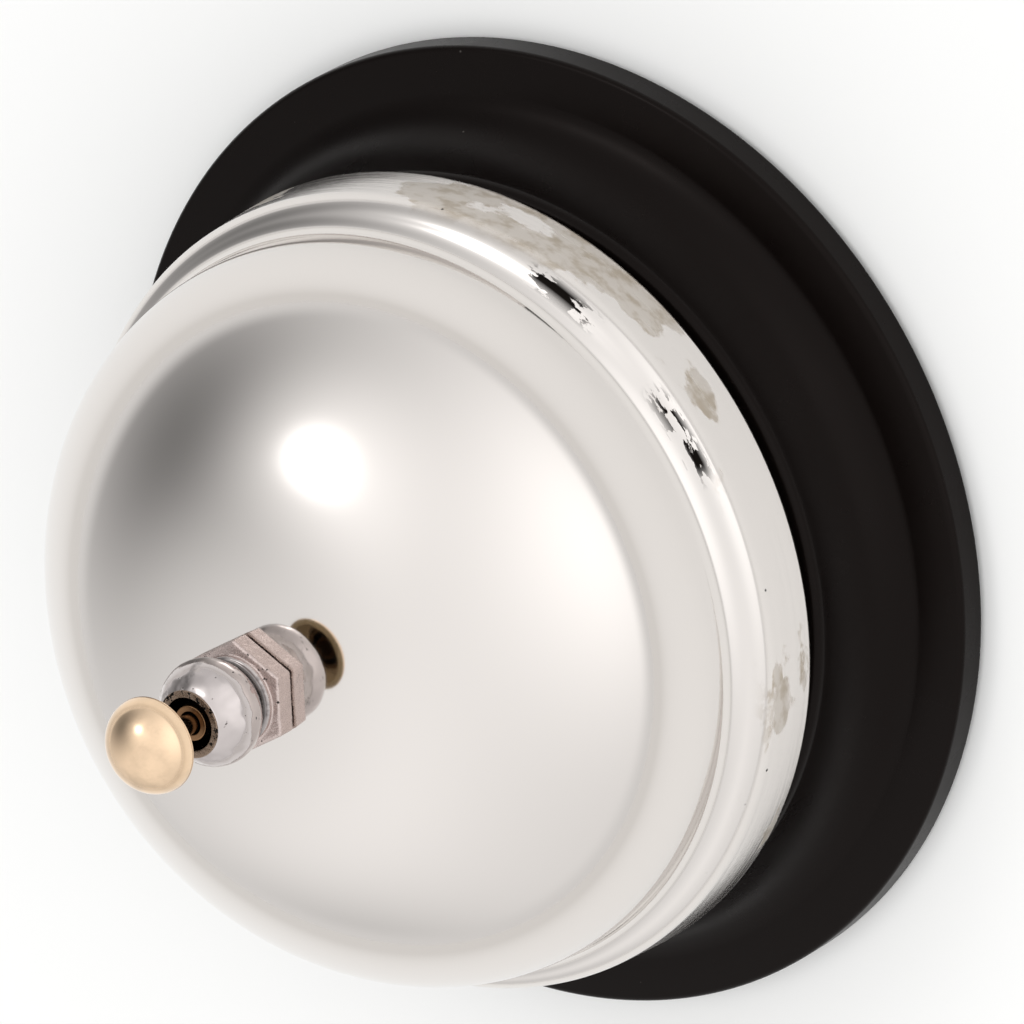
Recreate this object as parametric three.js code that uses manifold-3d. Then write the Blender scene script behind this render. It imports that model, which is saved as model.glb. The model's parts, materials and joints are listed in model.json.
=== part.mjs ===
// Desk service bell: a plated dome on a black stamped base, rung by a mushroom button whose rod
// tips a forked lever, so that a brass hammer on the lever's far end swings up against the dome.
// Millimetres, +Z up. The origin is the middle of the base, on the surface that the feet stand on.
import * as THREE from 'three';
import { mergeVertices } from 'three/addons/utils/BufferGeometryUtils.js';
import Module from 'manifold-3d';

const wasm = await Module();
wasm.setup();

// ---- driving dimensions --------------------------------------------------------------------
const GAP = 0.05; // between faces that rest on each other, and round a fixed pin in its hole
const ROUND = 48; // sides of the base and the dome
const SMALL = 20; // sides of turned pieces
const TINY = 12; // sides of rivets, pins and clips

const BASE = {
  radius: 42.5, bottom: 0.5, sheet: 0.9, wallTop: 3.1, shoulder: 0.4, lipInner: 36,
  coveOuter: 38.9, coveFoot: 4.0, coveInner: 34.2, top: 12.6, edgeRound: 1.0,
};
const FOOT = { ring: 39.2, radius: 2.3, stem: 1.2, head: 1.8, top: 2.5, count: 4 };

const BELL = {
  wall: 0.8, rimRadius: 35.3, rimZ: 15.2, skirtRadius: 35.05, skirtTop: 20.3, stepRound: 2.1,
  domeRadius: 32.4, domeCentre: 25.5, domeRise: 20.5, crownDip: 0.27, crownLift: 5.88,
  seatRadius: 5.0, seatZ: 45.75, hole: 2.4,
};

const POST = {
  bore: 1.0, thread: 2.2, nose: 1.55, noseFoot: 50.5, top: 54.0, flange: 4.0, flangeHeight: 1.0,
};
const NUT = { corner: 5.1, turn: 27, thickness: 1.85, hole: 2.3, top: 54.3 };
const SMALL_NUT = { corner: 4.05, bore: 2.3, height: 2.2 };

const BRACKET = {
  sheet: 1.2, wallInner: 6.0, top: 33.2, footReach: 13.6, backX: -8.4, frontX: 9.6,
  bridgeHalf: 5.6, rivetX: 5.6, rivetY: 10.6, rivetHole: 1.1,
};

const ROD = { radius: 0.85, bottom: 20.5, top: 60.3 };
const BUTTON = { radius: 4.15, underside: 58.6, rimZ: 59.3, top: 62.5 };
const COLLAR = { radius: 2.2, height: 1.4 };
const CLIP = { radius: 2.3, height: 0.6 };
const SEAT = { radius: 3.4, height: 0.6 };
const STOP = { radius: 3.2, height: 0.7 };
const SPRING = { radius: 2.65, wire: 0.5, turns: 8, sides: 6, stepsPerTurn: 14 };

const TRAVEL = 4.0; // full press of the button
const SWING = 0.667; // turn of the lever over that press, in radians
const LEVER = {
  nose: 1.1, sheet: 1.1, barrel: 1.8, barrelHalf: 5.5, bore: 1.1, slot: 1.5, prong: 1.4,
  slotEnd: 2.9, armHalf: 3.4, tipHalf: 2.6,
};
const PIN = { radius: 1.0, head: 1.9, headHeight: 0.8, reach: 8.9, groove: 0.75 };
const HAMMER = { radius: 3.0, out: 19.45, shank: 1.0, rivet: 1.7, rivetHeight: 0.8 };

// ---- heights that follow from them -----------------------------------------------------------
const bridgeBottom = BRACKET.top - BRACKET.sheet;
const postBottom = bridgeBottom - GAP - POST.flangeHeight;
const stopBottom = postBottom - GAP - STOP.height;
const collarBottom = stopBottom - GAP - COLLAR.height;
const noseZ = collarBottom - 0.1 - LEVER.nose;
const clipTop = noseZ - LEVER.nose - 0.15;
const seatBottom = clipTop - CLIP.height - GAP - SEAT.height;
const forkLength = TRAVEL / (2 * Math.sin(SWING / 2));
const pivot = new THREE.Vector3(forkLength * Math.cos(SWING / 4), 0, noseZ - TRAVEL / 2);
const leverTilt = SWING / 2; // at rest the fork end stands up by half the swing
const flangeZ = BELL.seatZ + GAP + NUT.thickness;

// ---- materials -------------------------------------------------------------------------------
const finish = (color, roughness, metalness) => () =>
  new THREE.MeshStandardMaterial({ color, roughness, metalness });
const blackPaint = finish('#141414', 0.35, 0.1);
const nickelPlate = finish('#d8d4d0', 0.1, 1);
const zincPlate = finish('#9b9a98', 0.4, 1);
const brass = finish('#cdb48a', 0.15, 1);
const steel = finish('#8a8a8c', 0.35, 1);
const springSteel = finish('#6d6f73', 0.3, 1);
const rubber = finish('#222222', 0.8, 0);
const nylon = finish('#e6e2d6', 0.5, 0);
const fibre = finish('#7a2f22', 0.8, 0);

// ---- helpers ---------------------------------------------------------------------------------
const v2 = (x, y) => new THREE.Vector2(x, y);

/** Merges shared vertices, drops slivers on the axis and turns every face outwards. */
function closed(geometry) {
  geometry.deleteAttribute('normal');
  geometry.deleteAttribute('uv');
  const merged = mergeVertices(geometry, 1e-4);
  const at = merged.getAttribute('position');
  const source = merged.getIndex().array;
  const a = new THREE.Vector3();
  const b = new THREE.Vector3();
  const c = new THREE.Vector3();
  const faces = [];
  let volume = 0;
  for (let i = 0; i < source.length; i += 3) {
    const [p, q, r] = [source[i], source[i + 1], source[i + 2]];
    if (p === q || q === r || r === p) continue;
    faces.push([p, q, r]);
    a.fromBufferAttribute(at, p);
    b.fromBufferAttribute(at, q);
    c.fromBufferAttribute(at, r);
    volume += a.dot(b.cross(c));
  }
  if (volume < 0) faces.forEach((face) => face.reverse());
  merged.setIndex(faces.flat());
  return merged;
}

/** A turned piece: the outline (radius, height) is spun about Z. */
function turned(outline, sides) {
  return closed(new THREE.LatheGeometry(outline, sides).rotateX(Math.PI / 2));
}

/** A flat shape drawn in X and Y, pushed up from z0 to z1. */
function slab(shape, z0, z1, curveSegments = 6) {
  const options = { depth: z1 - z0, bevelEnabled: false, curveSegments };
  return closed(new THREE.ExtrudeGeometry(shape, options).translate(0, 0, z0));
}

function toSolid(geometry) {
  const vertProperties = new Float32Array(geometry.getAttribute('position').array);
  const triVerts = new Uint32Array(geometry.getIndex().array);
  return new wasm.Manifold(new wasm.Mesh({ numProp: 3, vertProperties, triVerts }));
}

function fromSolid(solid) {
  const { vertProperties, triVerts } = solid.getMesh();
  const geometry = new THREE.BufferGeometry();
  geometry.setAttribute('position', new THREE.BufferAttribute(vertProperties, 3));
  geometry.setIndex(new THREE.BufferAttribute(triVerts, 1));
  return geometry;
}

const cut = (body, tools) =>
  fromSolid(tools.reduce((left, tool) => left.subtract(toSolid(tool)), toSolid(body)));
const join = (parts) =>
  fromSolid(parts.slice(1).reduce((sum, part) => sum.add(toSolid(part)), toSolid(parts[0])));

/** A closed rod of the given radius along Z, for drilling and for round stock. */
function round(radius, z0, z1, sides = TINY) {
  return turned([v2(0, z0), v2(radius, z0), v2(radius, z1), v2(0, z1)], sides);
}

/** A ring of rectangular section. */
function ring(inner, outer, z0, z1, sides = SMALL) {
  return turned([v2(inner, z0), v2(outer, z0), v2(outer, z1), v2(inner, z1), v2(inner, z0)], sides);
}

/** Points of an elliptical arc about (cx, cy), from angle a0 to a1 in degrees. */
function arc(cx, cy, rx, ry, a0, a1, steps) {
  return Array.from({ length: steps + 1 }, (_, i) => {
    const angle = THREE.MathUtils.degToRad(a0 + ((a1 - a0) * i) / steps);
    return v2(cx + rx * Math.cos(angle), cy + ry * Math.sin(angle));
  });
}

function hexShape(corner, turnDegrees = 0) {
  const points = arc(0, 0, corner, corner, turnDegrees, turnDegrees + 300, 5);
  return new THREE.Shape(points);
}

const circlePath = (radius, x = 0, y = 0) => new THREE.Path().absarc(x, y, radius, 0, 2 * Math.PI);

const part = new THREE.Group();

function add(name, geometry, material, parent = part) {
  const mesh = new THREE.Mesh(geometry, material());
  mesh.name = name;
  parent.add(mesh);
  return mesh;
}

// ---- base ------------------------------------------------------------------------------------
/**
 * The stamped base in section: a wall, a nearly flat flange, a hollow cove that rises to the flat
 * top, and a lip turned in under the wall. inset moves the outline in by the sheet's thickness.
 */
function baseOutline(inset) {
  const { radius, wallTop, shoulder, coveOuter, coveFoot, coveInner, top, edgeRound } = BASE;
  const coveTop = top - edgeRound;
  const corner = Math.max(shoulder - inset, 0.05);
  const edge = edgeRound - inset;
  return [
    ...arc(radius - shoulder - Math.max(inset - shoulder, 0), wallTop - Math.max(inset - shoulder, 0),
      corner, corner, 0, 90, 2),
    ...arc(coveOuter, coveTop, coveOuter - coveInner + inset, coveTop - coveFoot + inset, 270, 180, 6),
    ...arc(coveInner - edgeRound, coveTop, edge, edge, 0, 90, 3),
  ];
}

function baseShell() {
  const { radius, bottom, sheet, top, lipInner } = BASE;
  const outside = [v2(lipInner, bottom), v2(radius - 0.3, bottom), v2(radius, bottom + 0.3)];
  const shell = turned([
    v2(lipInner, bottom + sheet), ...outside, ...baseOutline(0), v2(0, top),
    v2(0, top - sheet), ...baseOutline(sheet).reverse(), v2(radius - sheet, bottom + sheet),
    v2(lipInner, bottom + sheet),
  ], ROUND);
  const drills = rivetPlaces().map(([x, y]) =>
    round(BRACKET.rivetHole, top - 3, top + 3).translate(x, y, 0));
  const footHoles = footPlaces().map(([x, y]) =>
    round(FOOT.stem + 0.1, bottom - 1, bottom + 2).translate(x, y, 0));
  return cut(shell, [...drills, ...footHoles]);
}

function rivetPlaces() {
  const { rivetX, rivetY } = BRACKET;
  return [[rivetX, rivetY], [-rivetX, rivetY], [-rivetX, -rivetY], [rivetX, -rivetY]];
}

function footPlaces() {
  return Array.from({ length: FOOT.count }, (_, i) => {
    const angle = ((i + 0.5) * 2 * Math.PI) / FOOT.count;
    return [FOOT.ring * Math.cos(angle), FOOT.ring * Math.sin(angle)];
  });
}

/** A rubber foot: a pad under the lip, a stem through it and a round head that keeps it there. */
function foot() {
  const under = BASE.bottom - GAP;
  const over = BASE.bottom + BASE.sheet + GAP;
  return turned([
    v2(0, 0), v2(FOOT.radius, 0), v2(FOOT.radius, under), v2(FOOT.stem, under), v2(FOOT.stem, over),
    v2(FOOT.head, over), v2(FOOT.stem, FOOT.top), v2(0, FOOT.top),
  ], TINY);
}

add('base_shell', baseShell(), blackPaint);
footPlaces().forEach(([x, y], i) => {
  const name = ['foot_back_right', 'foot_back_left', 'foot_front_left', 'foot_front_right'][i];
  add(name, foot(), rubber).position.set(x, y, 0);
});

// ---- bracket and what holds it ---------------------------------------------------------------
/** A hat section along X, trimmed from the side so that the walls taper towards the bridge. */
function bracket() {
  const { sheet, wallInner, top, footReach, backX, frontX, bridgeHalf, rivetHole } = BRACKET;
  const foot = BASE.top + GAP;
  const wallOuter = wallInner + sheet;
  const hat = new THREE.Shape([
    v2(-footReach, foot), v2(-wallInner, foot), v2(-wallInner, top - sheet),
    v2(wallInner, top - sheet), v2(wallInner, foot), v2(footReach, foot), v2(footReach, foot + sheet),
    v2(wallOuter, foot + sheet), ...arc(wallOuter - 1, top - 1, 1, 1, 0, 90, 3),
    ...arc(1 - wallOuter, top - 1, 1, 1, 90, 180, 3), v2(-wallOuter, foot + sheet),
    v2(-footReach, foot + sheet),
  ]);
  const side = new THREE.Shape([
    v2(backX, foot - 1), v2(frontX, foot - 1), v2(frontX, pivot.z + 2.2),
    v2(bridgeHalf, top + 1), v2(-bridgeHalf, top + 1), v2(backX, foot + 6),
  ]);
  // the hat is drawn in Y and Z, the side view in X and Z
  const channel = slab(hat, backX, frontX).applyMatrix4(
    new THREE.Matrix4().makeBasis(
      new THREE.Vector3(0, 1, 0), new THREE.Vector3(0, 0, 1), new THREE.Vector3(1, 0, 0)));
  const trim = slab(side, -footReach - 1, footReach + 1).applyMatrix4(
    new THREE.Matrix4().makeBasis(
      new THREE.Vector3(1, 0, 0), new THREE.Vector3(0, 0, 1), new THREE.Vector3(0, -1, 0)));
  const holes = [
    round(POST.thread + GAP, top - 3, top + 1, SMALL),
    round(PIN.radius + GAP, -wallOuter - 1, wallOuter + 1).rotateX(Math.PI / 2)
      .translate(pivot.x, 0, pivot.z),
    ...rivetPlaces().map(([x, y]) => round(rivetHole, foot - 1, foot + 3).translate(x, y, 0)),
  ];
  const trimmed = toSolid(channel).intersect(toSolid(trim));
  return cut(fromSolid(trimmed), holes);
}

/** A rivet through the bracket's foot and the base, with a round head above and below. */
function rivet() {
  const over = BASE.top + BRACKET.sheet + 2 * GAP;
  const under = BASE.top - BASE.sheet - GAP;
  const shank = BRACKET.rivetHole - 0.1;
  return turned([
    ...arc(0, under, 1.9, 0.8, 270, 360, 3), v2(shank, under), v2(shank, over),
    ...arc(0, over, 2.0, 1.1, 0, 90, 3),
  ], TINY);
}

add('bracket', bracket(), zincPlate);
rivetPlaces().forEach(([x, y], i) => {
  const name = ['rivet_back_right', 'rivet_back_left', 'rivet_front_left', 'rivet_front_right'][i];
  add(name, rivet(), zincPlate).position.set(x, y, 0);
});

// ---- post and nuts -----------------------------------------------------------------------------
/** The hollow threaded post: a flange under the bridge, the thread, and a turned-down nose. */
function post() {
  const { bore, thread, nose, noseFoot, top, flange, flangeHeight } = POST;
  return turned([
    v2(bore, postBottom), v2(flange, postBottom), v2(flange, postBottom + flangeHeight),
    v2(thread, postBottom + flangeHeight), v2(thread, noseFoot), v2(nose, noseFoot + 0.5),
    v2(nose, top), v2(bore, top), v2(bore, postBottom),
  ], SMALL);
}

function hexNut(z0) {
  const { corner, bore, height } = SMALL_NUT;
  const shape = hexShape(corner);
  shape.holes.push(circlePath(bore));
  return slab(shape, z0, z0 + height, 12);
}

const washerTop = BELL.seatZ - BELL.wall - GAP;
const washerBottom = washerTop - 0.8;
add('post', post(), brass);
add('post_nut', hexNut(BRACKET.top + GAP), zincPlate);
add('bell_seat_nut', hexNut(washerBottom - GAP - SMALL_NUT.height), zincPlate);
add('cushion_washer', ring(SMALL_NUT.bore, 4.6, washerBottom, washerTop), fibre);

/**
 * The dome: a short flared skirt, a round shoulder and a round hollow that touch each other, and
 * half an ellipsoid. At angle t, sin^6 t (lift cos^2 t - dip) is added to its height, which
 * flattens the crown. The nut sits on a small flat. inset moves the outline in by the wall.
 */
function bellOutline(inset) {
  const b = BELL;
  const shoulderX = b.skirtRadius - b.stepRound;
  const hollowX = b.domeRadius + b.stepRound;
  const lean = Math.acos((hollowX - shoulderX) / (2 * b.stepRound));
  const hollowZ = b.skirtTop + 2 * b.stepRound * Math.sin(lean);
  const turn = THREE.MathUtils.radToDeg(lean);
  const outer = b.stepRound - inset;
  const inner = b.stepRound + inset;
  const half = b.domeRadius - inset;
  const seatAngle = THREE.MathUtils.radToDeg(Math.acos(b.seatRadius / half));
  const crowned = (point) => {
    const s = (point.x / half) ** 2;
    return v2(point.x, point.y + (1 - s) ** 3 * (b.crownLift * s - b.crownDip));
  };
  return [
    v2(b.rimRadius - inset, b.rimZ),
    ...arc(shoulderX, b.skirtTop, outer, outer, 0, turn, 4),
    ...arc(hollowX, hollowZ, inner, inner, 180 + turn, 180, 4).slice(1),
    ...arc(0, b.domeCentre, half, b.domeRise - inset, 0, seatAngle, 12).map(crowned),
    v2(b.seatRadius - 0.2, b.seatZ - inset),
  ];
}

function bell() {
  return turned([
    ...bellOutline(0), v2(BELL.hole, BELL.seatZ), v2(BELL.hole, BELL.seatZ - BELL.wall),
    ...bellOutline(BELL.wall).reverse(), v2(BELL.rimRadius, BELL.rimZ),
  ], ROUND);
}

/** The cap nut: a hexagonal flange, a low collar and a round drum, bored right through. */
function capNut() {
  const foot = flangeZ - NUT.thickness;
  const hex = slab(hexShape(NUT.corner, NUT.turn), foot, flangeZ);
  const drum = turned([
    v2(0, foot + 0.5), v2(3.75, foot + 0.5), v2(3.75, flangeZ + 0.55), v2(3.5, flangeZ + 0.75),
    ...arc(0, flangeZ + 3.5, 4.62, 3.5, -50, 55, 8), v2(3.05, NUT.top - 0.15), v2(2.9, NUT.top),
    v2(0, NUT.top),
  ], 32);
  return cut(join([hex, drum]), [round(NUT.hole, foot - 1, NUT.top + 1, SMALL)]);
}

add('bell_dome', bell(), nickelPlate);
add('cap_nut', capNut(), nickelPlate);

// ---- plunger: everything here moves down with the button -------------------------------------
const plunger = new THREE.Group();
part.add(plunger);

function button() {
  const { radius, underside, rimZ, top } = BUTTON;
  const head = turned([
    v2(0, underside), v2(radius - 0.35, underside), v2(radius - 0.1, underside + 0.2),
    ...arc(0, rimZ, radius, top - rimZ, 0, 90, 9),
  ], 40);
  return cut(head, [round(ROD.radius + GAP, underside - 1, ROD.top + GAP, SMALL)]);
}

/** A flat ring on the rod, seated with a small gap. */
const onRod = (outer, z0, height) => ring(ROD.radius + GAP, outer, z0, z0 + height);

/** A snap ring: open on one side so that it can be pushed on. */
function snapRing(inner, outer, z0, height) {
  const mouth = 0.5;
  const start = Math.asin(mouth / inner);
  const shape = new THREE.Shape();
  shape.absarc(0, 0, outer, start / 2, 2 * Math.PI - start / 2, false);
  shape.absarc(0, 0, inner, 2 * Math.PI - start, start, true);
  return slab(shape, z0, z0 + height, TINY);
}

/** A coil spring: a round wire swept along a helix whose two ends lie flatter than the middle. */
function coilSpring(z0, z1) {
  const { radius, wire, turns, sides, stepsPerTurn } = SPRING;
  const low = z0 + wire / 2 + GAP;
  const high = z1 - wire / 2 - GAP;
  class Helix extends THREE.Curve {
    getPoint(t, target = new THREE.Vector3()) {
      const angle = 2 * Math.PI * turns * t;
      const eased = t - Math.sin(2 * Math.PI * t) / (2 * Math.PI);
      const height = low + (high - low) * (0.35 * eased + 0.65 * t);
      return target.set(radius * Math.cos(angle), radius * Math.sin(angle), height);
    }
  }
  const section = new THREE.Shape(arc(0, 0, wire / 2, wire / 2, 0, 360 - 360 / sides, sides - 1));
  const options = { extrudePath: new Helix(), steps: turns * stepsPerTurn, bevelEnabled: false };
  return closed(new THREE.ExtrudeGeometry(section, options));
}

add('button', button(), brass, plunger);
add('plunger_rod', round(ROD.radius, ROD.bottom, ROD.top, SMALL), steel, plunger);
add('stop_washer', onRod(STOP.radius, stopBottom, STOP.height), nylon, plunger);
add('rod_collar', onRod(COLLAR.radius, collarBottom, COLLAR.height), steel, plunger);
add('retaining_clip', snapRing(ROD.radius + GAP, CLIP.radius, clipTop - CLIP.height, CLIP.height),
  springSteel, plunger);
add('spring_seat', onRod(SEAT.radius, seatBottom, SEAT.height), zincPlate, plunger);
add('return_spring', coilSpring(BASE.top, seatBottom), springSteel);

// ---- striker: the forked lever and its hammer turn about the pivot pin -------------------------
const striker = new THREE.Group();
striker.position.copy(pivot);
striker.rotation.y = leverTilt;
part.add(striker);

/** The lever, drawn flat: a fork with round noses towards -X, a barrel, and a tapering arm. */
function lever() {
  const { nose, sheet, barrel, barrelHalf, bore, slot, prong, slotEnd, armHalf, tipHalf } = LEVER;
  const reach = forkLength;
  const half = sheet / 2;
  const prongs = [-1, 1].map((sideOf) => {
    const inner = sideOf * slot;
    const outer = sideOf * (slot + prong);
    const blade = slab(new THREE.Shape([
      v2(-reach, Math.min(inner, outer)), v2(-slotEnd + 1, Math.min(inner, outer)),
      v2(-slotEnd + 1, Math.max(inner, outer)), v2(-reach, Math.max(inner, outer)),
    ]), -half, half);
    const tip = round(nose, Math.min(inner, outer), Math.max(inner, outer)).rotateX(-Math.PI / 2)
      .translate(-reach, 0, 0);
    return join([blade, tip]);
  });
  const plate = slab(new THREE.Shape([
    v2(-slotEnd, -slot - prong), v2(2, -armHalf), v2(HAMMER.out, -tipHalf),
    ...arc(HAMMER.out, 0, tipHalf, tipHalf, -60, 60, 4), v2(HAMMER.out, tipHalf), v2(2, armHalf),
    v2(-slotEnd, slot + prong),
  ]), -half, half);
  const tube = round(barrel, -barrelHalf, barrelHalf, SMALL).rotateX(Math.PI / 2);
  const blank = join([...prongs, plate, tube]);
  return cut(blank, [
    round(bore, -barrelHalf - 1, barrelHalf + 1).rotateX(Math.PI / 2),
    round(HAMMER.shank + GAP, -2, 2).translate(HAMMER.out, 0, 0),
  ]);
}

/** The hammer: a brass ball on a shank, riveted over under the lever's tip. */
function hammer() {
  const { radius, shank, rivet: head, rivetHeight } = HAMMER;
  const over = LEVER.sheet / 2 + GAP;
  const flatAngle = 50; // the ball is cut flat where it sits on the lever
  const flat = radius * Math.sin(THREE.MathUtils.degToRad(flatAngle));
  const flatRadius = radius * Math.cos(THREE.MathUtils.degToRad(flatAngle));
  return turned([
    v2(0, -over - rivetHeight), v2(head * 0.7, -over - rivetHeight), v2(head, -over - 0.2),
    v2(head, -over), v2(shank, -over), v2(shank, over), v2(flatRadius, over),
    ...arc(0, over + flat, radius, radius, -flatAngle, 90, 8),
  ], SMALL);
}

/** The pin: a head outside one wall of the bracket and a groove outside the other. */
function pivotPin() {
  const wall = BRACKET.wallInner + BRACKET.sheet;
  const { radius, head, headHeight, reach, groove } = PIN;
  const grooveFoot = wall + GAP;
  return turned([
    v2(0, -wall - GAP - headHeight), v2(head, -wall - GAP - headHeight), v2(head, -wall - GAP),
    v2(radius, -wall - GAP), v2(radius, grooveFoot), v2(groove, grooveFoot),
    v2(groove, grooveFoot + 0.7), v2(radius, grooveFoot + 0.7), v2(radius, reach), v2(0, reach),
  ], TINY).rotateX(-Math.PI / 2);
}

function pinClip() {
  const z0 = BRACKET.wallInner + BRACKET.sheet + 2 * GAP;
  return snapRing(PIN.groove + GAP, 2.1, z0, 0.55).rotateX(-Math.PI / 2);
}

add('striker_lever', lever(), zincPlate, striker);
add('striker_hammer', hammer(), brass, striker).position.set(HAMMER.out, 0, 0);
add('pivot_pin', pivotPin(), steel).position.copy(pivot);
add('pin_clip', pinClip(), springSteel).position.copy(pivot);

export default part;
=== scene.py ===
"""Looks of a desk service bell: fine surfaces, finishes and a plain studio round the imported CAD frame.

Every piece is a surface of revolution, or a stack of rings that turn from a hexagon into a circle,
or a round wire carried along a helix. Lengths in the formulas are millimetres; meshes are metres.
"""

import json
import math

import bpy
import numpy as np
from mathutils import Matrix, Vector


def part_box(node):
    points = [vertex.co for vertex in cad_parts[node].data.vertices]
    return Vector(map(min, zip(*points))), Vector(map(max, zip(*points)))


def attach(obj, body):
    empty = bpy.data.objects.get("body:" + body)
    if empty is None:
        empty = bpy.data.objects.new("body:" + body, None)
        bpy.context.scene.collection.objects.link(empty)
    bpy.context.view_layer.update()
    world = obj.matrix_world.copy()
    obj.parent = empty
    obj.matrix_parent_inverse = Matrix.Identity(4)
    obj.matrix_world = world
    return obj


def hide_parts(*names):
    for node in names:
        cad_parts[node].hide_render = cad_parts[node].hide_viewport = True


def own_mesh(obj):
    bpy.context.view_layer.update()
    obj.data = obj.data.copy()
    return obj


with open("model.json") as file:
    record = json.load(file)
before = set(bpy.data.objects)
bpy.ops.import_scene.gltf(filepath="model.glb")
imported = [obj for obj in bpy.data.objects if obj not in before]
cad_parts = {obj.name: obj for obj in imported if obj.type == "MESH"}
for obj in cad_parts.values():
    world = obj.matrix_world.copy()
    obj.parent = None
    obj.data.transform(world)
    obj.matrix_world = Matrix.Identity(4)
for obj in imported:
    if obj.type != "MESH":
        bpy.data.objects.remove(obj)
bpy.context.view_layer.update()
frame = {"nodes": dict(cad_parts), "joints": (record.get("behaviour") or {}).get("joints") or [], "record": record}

bl_info = {
    "name": "Service Bell",
    "version": (1, 0, 0),
    "blender": (4, 5, 0),
    "location": "View3D > Sidebar > Service Bell",
    "description": "Fine surfaces, finishes and a studio for a desk service bell",
    "category": "Add Mesh",
}

MM = 0.001
ROUND = 256  # sides of the base and the dome
FINE = 96  # sides of turned pieces that show
SMALL = 48  # sides of hidden turned pieces
GAP = 0.05  # between faces that rest on each other


# ---- sizes taken from the frame ----------------------------------------------------------------


def box(node):
    """The low and high corners of a CAD node, in millimetres."""
    low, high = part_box(node)
    return np.array(low) / MM, np.array(high) / MM


def centre(node):
    low, high = box(node)
    return (low + high) / 2


BASE_LOW, BASE_HIGH = box("base_shell")
BELL_LOW, BELL_HIGH = box("bell_dome")
NUT_LOW, NUT_HIGH = box("cap_nut")
BUTTON_LOW, BUTTON_HIGH = box("button")


def linear(hex_colour):
    """An sRGB hex colour as linear red, green and blue."""
    values = [int(hex_colour[i : i + 2], 16) / 255 for i in (0, 2, 4)]
    return tuple(v / 12.92 if v <= 0.04045 else ((v + 0.055) / 1.055) ** 2.4 for v in values)


def length(name, description, default_mm):
    """A length property; its default is given in millimetres."""
    return bpy.props.FloatProperty(
        name=name, description=description, default=default_mm * MM, unit="LENGTH", precision=5
    )


def colour(name, description, hex_colour):
    return bpy.props.FloatVectorProperty(
        name=name, description=description, default=linear(hex_colour), subtype="COLOR",
        size=3, min=0.0, max=1.0,
    )


class ServiceBellSizes(bpy.types.PropertyGroup):
    """Sizes of the pieces whose fine shape is drawn here."""

    base_radius: length("Base radius", "Outer radius of the base's wall", BASE_HIGH[0])
    base_top: length("Base top", "Height of the base's flat top", BASE_HIGH[2])
    base_sheet: length("Base sheet", "Thickness of the stamped base", 0.9)
    bell_rim: length("Bell rim radius", "Outer radius of the dome's rim", BELL_HIGH[0])
    bell_radius: length("Dome radius", "Outer radius of the dome above its step", 32.4)
    bell_wall: length("Bell wall", "Thickness of the dome's sheet", 0.8)
    nut_corner: length("Nut corner radius", "Cap nut's axis to a corner of its hexagon", 5.1)
    button_radius: length("Button radius", "Radius of the mushroom button", BUTTON_HIGH[0])


class ServiceBellColours(bpy.types.PropertyGroup):
    """Colours of the finishes."""

    nickel: colour("Nickel plate", "Reflection of the plated dome", "DED9D5")
    stain: colour("Water stain", "Reflection of stained plate on the skirt", "B3A89A")
    # the black of buffing compound in pits and smears; on the cap nut it is also the painted shadow in the groove
    soot_and_painted_shade: colour("Buffing compound", "Black left in pits and hollows", "14110F")
    casting: colour("Plated casting", "Reflection of the cap nut", "C6BEBC")
    grit: colour("Gritty casting", "Reflection of the cap nut's hexagon", "C9B9B4")
    residue: colour("Raw casting", "Brown ring round the cap nut's hole", "8A7768")
    rod: colour("Plunger rod", "Reflection of the rod that shows", "9A8570")
    underside: colour("Button underside", "Unpolished brass under the button", "7C6A50")
    bush: colour("Bush", "Brown brass of the hollow post", "86664A")
    brass: colour("Pale brass", "Reflection of the button", "EDD0B0")
    dull_brass: colour("Dull brass", "Reflection of turned brass", "B08B5A")
    enamel: colour("Black enamel", "Colour of the base", "0B0706")
    dust: colour("Dust", "Specks in the enamel", "4A4643")
    zinc: colour("Zinc plate", "Reflection of plated steel inside", "B4B6B7")
    steel: colour("Bright steel", "Reflection of ground steel", "B9B7B4")
    spring: colour("Spring steel", "Reflection of oiled spring steel", "7D8085")
    rubber: colour("Rubber", "Colour of the feet", "1A1A1B")
    nylon: colour("Nylon", "Colour of the stop washer", "E4DFCF")
    fibre: colour("Fibre", "Colour of the cushion washer", "7A3226")
    floor: colour("Floor", "Colour of the floor", "FBFBFA")
    # painted shade: the floor's colour 400 mm away, darker than under the bell
    painted_shade_floor: colour("Floor farther off", "Colour of the floor 400 mm away", "E6E5E3")


# ---- outlines ------------------------------------------------------------------------------------


def arc(cx, cy, rx, ry, start, end, steps):
    """Points of an elliptical arc: centre plus (rx cos a, ry sin a), a from start to end degrees."""
    a = np.radians(np.linspace(start, end, steps + 1))
    return np.stack([cx + rx * np.cos(a), cy + ry * np.sin(a)], axis=1)


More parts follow.
